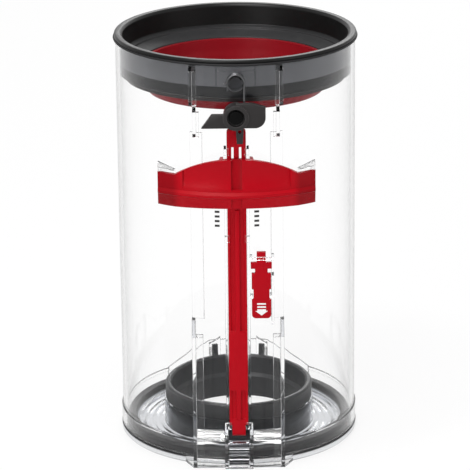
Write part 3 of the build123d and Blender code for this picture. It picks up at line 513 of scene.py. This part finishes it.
def collar_grey(name, tone, size):
    """Dark moulded plastic, paler in its funnel with painted light, and paler where it lies behind the clear
    wall with a painted reflection of that wall.
    There it has soft upright bands of painted lamp reflection, a darker tone below a step, and painted shade
    behind the rails and the sides of the spring's boss."""
    look = new_finish(name)
    fine = look.noise(COLLAR_GRAIN, detail=2.0)
    band = look.noise(REFLECTION_BAND_WIDTH, detail=1.0, scale=IN_PLAN)
    height, aside = look.along("Z"), abs(look.along("X"))
    shadow = shade(tone.skirt_reflection, SHADOW_TONE)
    # Painted reflection of the clear wall, with soft upright bands of painted lamp reflection, and a darker
    # tone below the skirt step
    pale = look.mix(band, shade(tone.skirt_reflection, 1.0 - REFLECTION_BAND_SWING), shade(tone.skirt_reflection, 1.0 + REFLECTION_BAND_SWING))
    pale = look.mix((height - size.skirt_step).step(), shadow, pale)
    # Painted shade behind the rails and the sides of the boss, on the front only
    rails = (size.rail_shade - abs(aside - size.rail_middle)).step(SHADOW_FADE)
    sides = (size.boss_shade - abs(aside - size.boss_side)).step(SHADOW_FADE)
    front = (0.0 - look.along("Y")).step()
    pale = look.mix(front * (RAIL_SHADOW_SHARE * rails).most(BOSS_SHADOW_SHARE * sides), pale, shadow)
    # Painted light on the funnel inside the collar
    funnel = (size.funnel_top - height).step(FUNNEL_FADE)
    inside = look.mix(funnel, shade(tone.collar), shade(tone.funnel))
    outside = (look.radius() - size.skirt_radius).step() * (size.skirt_top - height).step()
    body = look.principled({
        "Base Color": look.mix(outside, inside, pale),
        "Roughness": COLLAR_ROUGH + (fine - 0.5) * FINE_SWING,
        "Specular IOR Level": COLLAR_GLOSS,
        "Normal": look.bump(fine, COLLAR_DEPTH),
    })
    return look.end(body)


def steel_wire(name, rgb):
    """Drawn steel: fine streaks in its roughness, and tone that varies along it."""
    look = new_finish(name)
    streak = look.noise(STREAK_WIDTH, detail=3.0, scale=(1.0, 1.0, 6.0))
    stain = look.noise(STAIN_WIDTH, detail=2.0)
    body = look.principled({
        "Base Color": look.mix(stain, shade(rgb, 0.85), shade(rgb, 1.1)),
        "Metallic": 1.0,
        "Roughness": STEEL_ROUGH + streak * STEEL_RISE,
        "Normal": look.bump(streak, STREAK_DEPTH),
    })
    return look.end(body)


def clear_plastic(name, rgb, edge_shade_rgb, fall, corner, shaded_post=None, calm=None, rings=None):
    """Polished clear plastic that bends light, greyed by painted shade at corners and edge on, and lets
    lamplight through.
    A post may be darkened by painted shade, the painted shade along corners may be fainter above a height,
    and a floor may have rings."""
    look = new_finish(name)
    facing = look.add("ShaderNodeLayerWeight", "Facing", {}, {"Blend": 0.5})
    rounded, line = look.corners(corner)
    ripple = look.noise(RIPPLE_WIDTH, detail=2.0, scale=(1.0, 1.0, 0.3))
    scuff = look.noise(SCUFF_WIDTH, detail=4.0, scale=(1.0, 1.0, 0.12))
    if calm is not None:
        # Painted shade along corners, fainter above a height
        line = line * (1.0 - CALM_SHARE * (look.along("Z") - calm).step(CALM_FADE))
    # Painted shade: grey edge on and along corners
    share = (EDGE_SHADE_SHARE * facing**fall).most(line)
    # Painted shade: the clear post inside the latch spring darkened
    if shaded_post is not None:
        share = share.most(EDGE_SHADE_SHARE * look.near(*shaded_post))
    normal = look.bump(ripple, RIPPLE_DEPTH, rounded)
    if rings is not None:
        step, depth = rings
        normal = look.bump((look.radius() * (2 * pi / step)).sine(), depth, normal)
    glass = look.principled({
        "Base Color": look.mix(share, shade(rgb), shade(edge_shade_rgb)),
        "Roughness": CLEAR_ROUGH + scuff * SCUFF_RISE,
        "IOR": CLEAR_IOR,
        "Specular Tint": CLEAR_GLINT,
        "Transmission Weight": 1.0,
        "Normal": normal,
    })
    through = look.add("ShaderNodeBsdfTransparent", "BSDF", {}, {"Color": CLEAR_LIGHT})
    return look.end(look.blend(look.ray("Shadow", "Diffuse"), glass, through))


def printed(name, rgb):
    """Printed ink: matt, with a slightly uneven tone."""
    look = new_finish(name)
    speck = look.noise(SPECK_WIDTH)
    body = look.principled({
        "Base Color": look.mix(speck, shade(rgb, 0.93), shade(rgb, 1.03)),
        "Roughness": INK_ROUGH + speck * INK_RISE,
    })
    return look.end(body)


def groups(context):
    """The settings: colours, sizes, springs and stage."""
    return [getattr(context.scene, name) for name in GROUPS]


def only(items, kind):
    """The items of one kind."""
    return [item for item in items if isinstance(item, kind)]


def new_piece(name, shape, material, body):
    """Turns a bmesh into a piece that rides on a body, if one is given."""
    mesh = bpy.data.meshes.new(name)
    shape.to_mesh(mesh)
    shape.free()
    mesh.shade_smooth()
    mesh.set_sharp_from_angle(angle=CRISP_ANGLE)
    piece = bpy.data.objects.new(name, mesh)
    bpy.context.scene.collection.objects.link(piece)
    mesh.materials.append(material)
    if body is not None:
        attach(piece, body)
    return piece


def dress(node, material):
    """Gives a CAD node its finish."""
    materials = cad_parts[node].data.materials
    materials.clear()
    materials.append(material)


def softened(node, material, body, edge, segments=2):
    """A copy of a CAD node with its sharp edges rounded, which stands for the node."""
    shape = bmesh.new()
    shape.from_mesh(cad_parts[node].data)
    bmesh.ops.remove_doubles(shape, verts=shape.verts, dist=WELD)
    bmesh.ops.dissolve_limit(shape, angle_limit=FLAT_ANGLE, verts=shape.verts, edges=shape.edges)
    joints = [line for line in shape.edges if len(line.link_faces) == 2]
    bmesh.ops.bevel(
        shape,
        geom=[line for line in joints if line.calc_face_angle() > ROUND_ANGLE],
        offset=edge,
        offset_type="OFFSET",
        affect="EDGES",
        segments=segments,
        profile=0.5,
        clamp_overlap=True,
        material=-1,
    )
    bmesh.ops.remove_doubles(shape, verts=shape.verts, dist=WELD)
    piece = new_piece(node + "_soft", shape, material, body)
    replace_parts(piece, node)


def wound(centre, axis, start, radius, wire, pitch, turns, sizes, legs=(0.0, 0.0)):
    """A round wire wound left-handed from a direction out of the centre, with straight legs at its ends."""
    centre, axis, out = Vector(centre), Vector(axis), Vector(start)
    along = axis.cross(out)
    shape = bmesh.new()
    ring = bmesh.ops.create_circle(shape, segments=sizes.wire_sides, radius=wire / 2)["verts"]
    turn = Matrix((out, axis, along)).transposed().to_4x4()
    bmesh.ops.transform(shape, matrix=Matrix.Translation(centre + out * radius) @ turn, verts=ring)
    steps = round(turns * sizes.turn_steps)
    first = list(shape.edges)
    wrapped = bmesh.ops.spin(
        shape,
        geom=ring + first,
        cent=centre,
        axis=axis,
        dvec=axis * (pitch * turns / steps),
        angle=-2 * pi * turns,
        steps=steps,
        use_merge=False,
    )
    last = only(wrapped["geom_last"], bmesh.types.BMEdge)
    swing = Matrix.Rotation(-2 * pi * turns, 3, axis)
    for edges, heading, reach in ((first, along, legs[0]), (last, -(swing @ along), legs[1])):
        if reach > 0:
            pushed = bmesh.ops.extrude_edge_only(shape, edges=edges)["geom"]
            moved = set(only(pushed, bmesh.types.BMVert))
            bmesh.ops.translate(shape, verts=list(moved), vec=heading * reach)
            edges = [line for line in only(pushed, bmesh.types.BMEdge) if moved.issuperset(line.verts)]
        bmesh.ops.contextual_create(shape, geom=edges)
    bmesh.ops.recalc_face_normals(shape, faces=shape.faces)
    return shape


def decal(shape, corners, depth):
    """Adds a flat plate of ink to a shape: corners at the back, in order, raised towards the front."""
    verts = [bmesh.ops.create_vert(shape, co=corner)["vert"][0] for corner in corners]
    face = bmesh.ops.contextual_create(shape, geom=verts)["faces"]
    raised = bmesh.ops.extrude_face_region(shape, geom=face)["geom"]
    bmesh.ops.translate(shape, verts=only(raised, bmesh.types.BMVert), vec=(0.0, -depth, 0.0))
    bmesh.ops.recalc_face_normals(shape, faces=shape.faces)


class DUSTBIN_OT_clear_parts(bpy.types.Operator):
    """Clear tube with its runner and printed ticks, the clear catch and the clear parts of the door"""

    bl_idname = "dustbin.clear_parts"
    bl_label = "Clear Parts"

    def execute(self, context):
        tone, size, coil, _ = groups(context)
        # The clear post inside the latch spring, darkened by painted shade
        post = (tuple(coil.latch_centre), coil.latch_radius)
        rings = (size.floor_ring, size.floor_ripple)
        tube = {"fall": TUBE_FALL, "corner": size.tube_corner, "shaded_post": post, "calm": size.rail_calm}
        door = {"fall": DOOR_FALL, "corner": size.door_corner}
        finishes = (
            ("bin_body", "clear_tube", tone.clear_tube, tube),
            # The door's grey tint is painted shade
            ("door_ring", "shaded_clear_door", tone.shaded_clear_door, door),
            ("door_window", "clear_floor", tone.shaded_clear_door, {**door, "rings": rings}),
            # The catch's dark tint is painted shade
            ("door_catch", "shaded_clear_catch", tone.shaded_clear_catch, door),
        )
        for node, name, rgb, rest in finishes:
            dress(node, clear_plastic(name, rgb, tone.clear_edge_shade, **rest))
        self.ticks(tone, size)
        return {"FINISHED"}

    def ticks(self, tone, size):
        """Two columns of plain ticks on the tube, beside the rod."""
        shape = bmesh.new()
        inner, outer = size.tick_inner, size.tick_inner + size.tick_width
        for ends in ((-outer, -inner), (inner, outer)):
            left, right = ((x, -((size.tube_radius**2 - x * x) ** 0.5)) for x in ends)
            for step in range(size.ticks):
                top = size.tick_top - step * size.tick_step
                foot = top - size.tick_height
                decal(shape, ((*left, top), (*right, top), (*right, foot), (*left, foot)), size.ink)
        new_piece("tube_ticks", shape, printed("tick_black", tone.tick), "bin")


class DUSTBIN_OT_mouth(bpy.types.Operator):
    """Collar, seal, wiper and retainer at the mouth"""

    bl_idname = "dustbin.mouth"
    bl_label = "Mouth"

    def execute(self, context):
        tone, size, _, _ = groups(context)
        grey = collar_grey("collar_grey", tone, size)
        softened("mouth_collar", grey, "bin", size.rim_edge, RIM_SEGMENTS)
        rubber = moulded("mouth_rubber", tone.rubber, **MOUTH_RUBBER)
        softened("mouth_seal", rubber, "bin", size.edge)
        silicone = moulded("wiper_silicone", tone.wiper, **SILICONE)
        softened("shroud_wiper", silicone, "bin", size.rim_edge)
        dark = moulded("retainer_dark", tone.dark, **RETAINER)
        softened("wiper_retainer", dark, "bin", size.edge)
        return {"FINISHED"}


class DUSTBIN_OT_release(bpy.types.Operator):
    """Release lever, push rod and the spring in the rod's back"""

    bl_idname = "dustbin.release"
    bl_label = "Release"

    def execute(self, context):
        tone, size, coil, _ = groups(context)
        red = moulded("lever_red", tone.red, **RED, outline=size.outline, painted_shade=lever_shade(size))
        softened("release_lever", red, "release", size.edge)
        red = moulded("rod_red", tone.red, **RED, outline=size.outline)
        softened("push_rod", red, "release", size.edge)
        shape = wound(
            coil.lever_centre, (0, 0, 1), (1, 0, 0), coil.lever_radius, coil.lever_wire, coil.lever_pitch,
            coil.lever_turns, size,
        )
        steel = steel_wire("lever_spring_steel", tone.steel)
        spring = new_piece("lever_spring_wire", shape, steel, "bin")
        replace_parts(spring, "lever_spring")
        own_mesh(spring)
        return {"FINISHED"}


class DUSTBIN_OT_latch(bpy.types.Operator):
    """Latch rocker, its screw and its torsion spring"""

    bl_idname = "dustbin.latch"
    bl_label = "Latch"

    def execute(self, context):
        tone, size, coil, _ = groups(context)
        # The rocker's corners carry a painted highlight
        dark = moulded("latch_dark", tone.dark, **ROCKER, outline=size.outline, corner_paint_tone=ROCKER_CORNER_HIGHLIGHT)
        softened("latch_rocker", dark, "latch", size.edge)
        black = steel_wire("screw_steel", tone.screw)
        softened("latch_screw", black, "bin", size.edge, RIM_SEGMENTS)
        shape = wound(
            coil.latch_centre, (0, 1, 0), (1, 0, 0), coil.latch_radius, coil.latch_wire, coil.latch_pitch,
            coil.latch_turns, size, (coil.latch_long_leg, coil.latch_short_leg),
        )
        steel = steel_wire("latch_steel", tone.latch_steel)
        spring = new_piece("latch_spring_wire", shape, steel, None)
        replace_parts(spring, "latch_spring")
        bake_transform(spring)
        return {"FINISHED"}


class DUSTBIN_OT_button(bpy.types.Operator):
    """Runner button and the arrow printed on it"""

    bl_idname = "dustbin.button"
    bl_label = "Runner Button"

    def execute(self, context):
        tone, size, _, _ = groups(context)
        red = moulded("button_red", tone.red, **BUTTON_RED, outline=size.outline)
        softened("runner_button", red, "button", size.edge)
        low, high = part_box("runner_button")
        middle, front, tip = (low[0] + high[0]) / 2, low[1], low[2] + size.sign_rise
        neck = tip + size.sign_point
        stem = neck + size.sign_line
        bar, head = size.sign_bar / 2, size.sign_head / 2
        point = ((head, neck), (0.0, tip), (-head, neck))
        plates = [((-bar, stem), (bar, stem), (bar, neck), *point, (-bar, neck))]
        for step in (1, 2):
            foot = neck + step * (size.sign_line + size.sign_gap)
            top = foot + size.sign_line
            plates.append(((-bar, top), (bar, top), (bar, foot), (-bar, foot)))
        shape = bmesh.new()
        for plate in plates:
            decal(shape, [(middle + x, front, z) for x, z in plate], size.ink)
        new_piece("button_sign", shape, printed("sign_white", tone.sign), "button")
        return {"FINISHED"}


class DUSTBIN_OT_door(bpy.types.Operator):
    """Inlet sleeve, door seal, the pins and the door's spring"""

    bl_idname = "dustbin.door"
    bl_label = "Door"

    def execute(self, context):
        tone, size, coil, _ = groups(context)
        sleeve = moulded("sleeve_grey", tone.sleeve, **SLEEVE)
        softened("inlet_sleeve", sleeve, "door", size.rim_edge, RIM_SEGMENTS)
        rubber = moulded("door_rubber", tone.rubber, **DOOR_RUBBER)
        softened("door_seal", rubber, "door", size.edge)
        steel = steel_wire("hinge_steel", tone.steel)
        softened("hinge_pin", steel, "bin", size.edge)
        softened("catch_pin", steel, "bin", size.edge)
        shape = wound(
            coil.door_centre, (1, 0, 0), (0, 0, 1), coil.door_radius, coil.door_wire, coil.door_pitch,
            coil.door_turns, size, (coil.door_ring_leg, coil.door_tube_leg),
        )
        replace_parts(new_piece("door_spring_wire", shape, steel, "door"), "door_spring")
        return {"FINISHED"}


class DUSTBIN_OT_stage(bpy.types.Operator):
    """Pale floor, soft lamps, white surroundings and the camera"""

    bl_idname = "dustbin.stage"
    bl_label = "Stage"

    def execute(self, context):
        scene, setting = context.scene, context.scene.dust_bin_stage
        scene.view_settings.view_transform = "Standard"
        scene.cycles.max_bounces = BOUNCES
        scene.cycles.transmission_bounces = BOUNCES
        scene.cycles.transparent_max_bounces = BOUNCES
        target = Vector((0.0, 0.0, setting.target))
        self.floor(setting)
        self.surroundings(scene, setting)
        self.lamps(scene, target)
        self.camera(scene, setting, target)
        return {"FINISHED"}

    def floor(self, setting):
        """A wide pale floor that shows as white and keeps a soft shadow."""
        look = new_finish("floor_pale")
        speck = look.noise(FLOOR_SPECK, detail=2.0)
        matt = look.principled({
            "Base Color": look.mix(speck, shade(setting.floor, 0.99), shade(setting.floor, 1.01)),
            "Roughness": FLOOR_ROUGH,
        })
        glow = look.add("ShaderNodeEmission", "Emission", {}, {"Color": WHITE, "Strength": 1.0})
        share = look.ray("Camera", "Glossy", "Transmission") * FLOOR_GLOW
        material = look.end(look.blend(share, matt, glow))
        shape = bmesh.new()
        bmesh.ops.create_grid(shape, x_segments=1, y_segments=1, size=FLOOR_HALF)
        bmesh.ops.translate(shape, verts=shape.verts, vec=(0.0, 0.0, CAD_BOX[0][2]))
        mesh = bpy.data.meshes.new("floor")
        shape.to_mesh(mesh)
        shape.free()
        mesh.materials.append(material)
        floor = bpy.data.objects.new("floor", mesh)
        bpy.context.scene.collection.objects.link(floor)

    def surroundings(self, scene, setting):
        """White to the camera, in reflections and through clear plastic, and soft light to all else."""
        scene.world = bpy.data.worlds.new("surroundings")
        sky = Finish(scene.world)
        soft, white = (
            sky.add("ShaderNodeBackground", "Background", {}, {"Color": WHITE, "Strength": strength})
            for strength in (setting.ambient, 1.0)
        )
        sky.end(sky.blend(sky.ray("Camera", "Glossy", "Transmission"), soft, white))

    def lamps(self, scene, target):
        """Square soft lamps that face the target."""
        for name, place, side, power in LAMPS:
            lamp = bpy.data.lights.new(name, "AREA")
            lamp.energy = power
            lamp.size = side
            holder = bpy.data.objects.new(name, lamp)
            holder.location = place
            holder.rotation_euler = (target - Vector(place)).to_track_quat("-Z", "Y").to_euler()
            scene.collection.objects.link(holder)

    def camera(self, scene, setting, target):
        """The camera at the front, a little above the mouth."""
        camera = bpy.data.cameras.new("camera")
        camera.sensor_width = SENSOR
        camera.lens = setting.focal
        camera.shift_x = setting.shift
        holder = bpy.data.objects.new("camera", camera)
        back = Vector((0, -cos(setting.elevation), sin(setting.elevation)))
        facing = (-back).to_track_quat("-Z", "Y").to_matrix().to_4x4()
        place = Matrix.Translation(target + back * setting.distance)
        holder.matrix_world = place @ facing @ Matrix.Rotation(setting.roll, 4, "Z")
        scene.collection.objects.link(holder)
        scene.camera = holder


class DUSTBIN_PT_panel(bpy.types.Panel):
    """Lists the pieces of the dust bin"""

    bl_idname = "DUSTBIN_PT_panel"
    bl_label = "Dust Bin"
    bl_space_type = "VIEW_3D"
    bl_region_type = "UI"
    bl_category = "Dust Bin"

    def draw(self, context):
        for piece in PIECES:
            self.layout.operator(piece.bl_idname)
        for group in groups(context):
            for key in group.bl_rna.properties.keys():
                if key not in ("rna_type", "name"):
                    self.layout.prop(group, key)


PIECES = (
    DUSTBIN_OT_stage,
    DUSTBIN_OT_clear_parts,
    DUSTBIN_OT_mouth,
    DUSTBIN_OT_release,
    DUSTBIN_OT_latch,
    DUSTBIN_OT_button,
    DUSTBIN_OT_door,
)
GROUPS = {
    "dust_bin_colours": DustBinColours,
    "dust_bin_sizes": DustBinSizes,
    "dust_bin_springs": DustBinSprings,
    "dust_bin_stage": DustBinStage,
}


def register():
    for name, group in GROUPS.items():
        bpy.utils.register_class(group)
        setattr(bpy.types.Scene, name, PointerProperty(type=group))
    for piece in PIECES:
        bpy.utils.register_class(piece)
    bpy.utils.register_class(DUSTBIN_PT_panel)


def unregister():
    bpy.utils.unregister_class(DUSTBIN_PT_panel)
    for piece in reversed(PIECES):
        bpy.utils.unregister_class(piece)
    for name, group in GROUPS.items():
        delattr(bpy.types.Scene, name)
        bpy.utils.unregister_class(group)


def main():
    register()
    for piece in PIECES:
        area, name = piece.bl_idname.split(".")
        getattr(getattr(bpy.ops, area), name)()


if __name__ == "__main__":
    main()
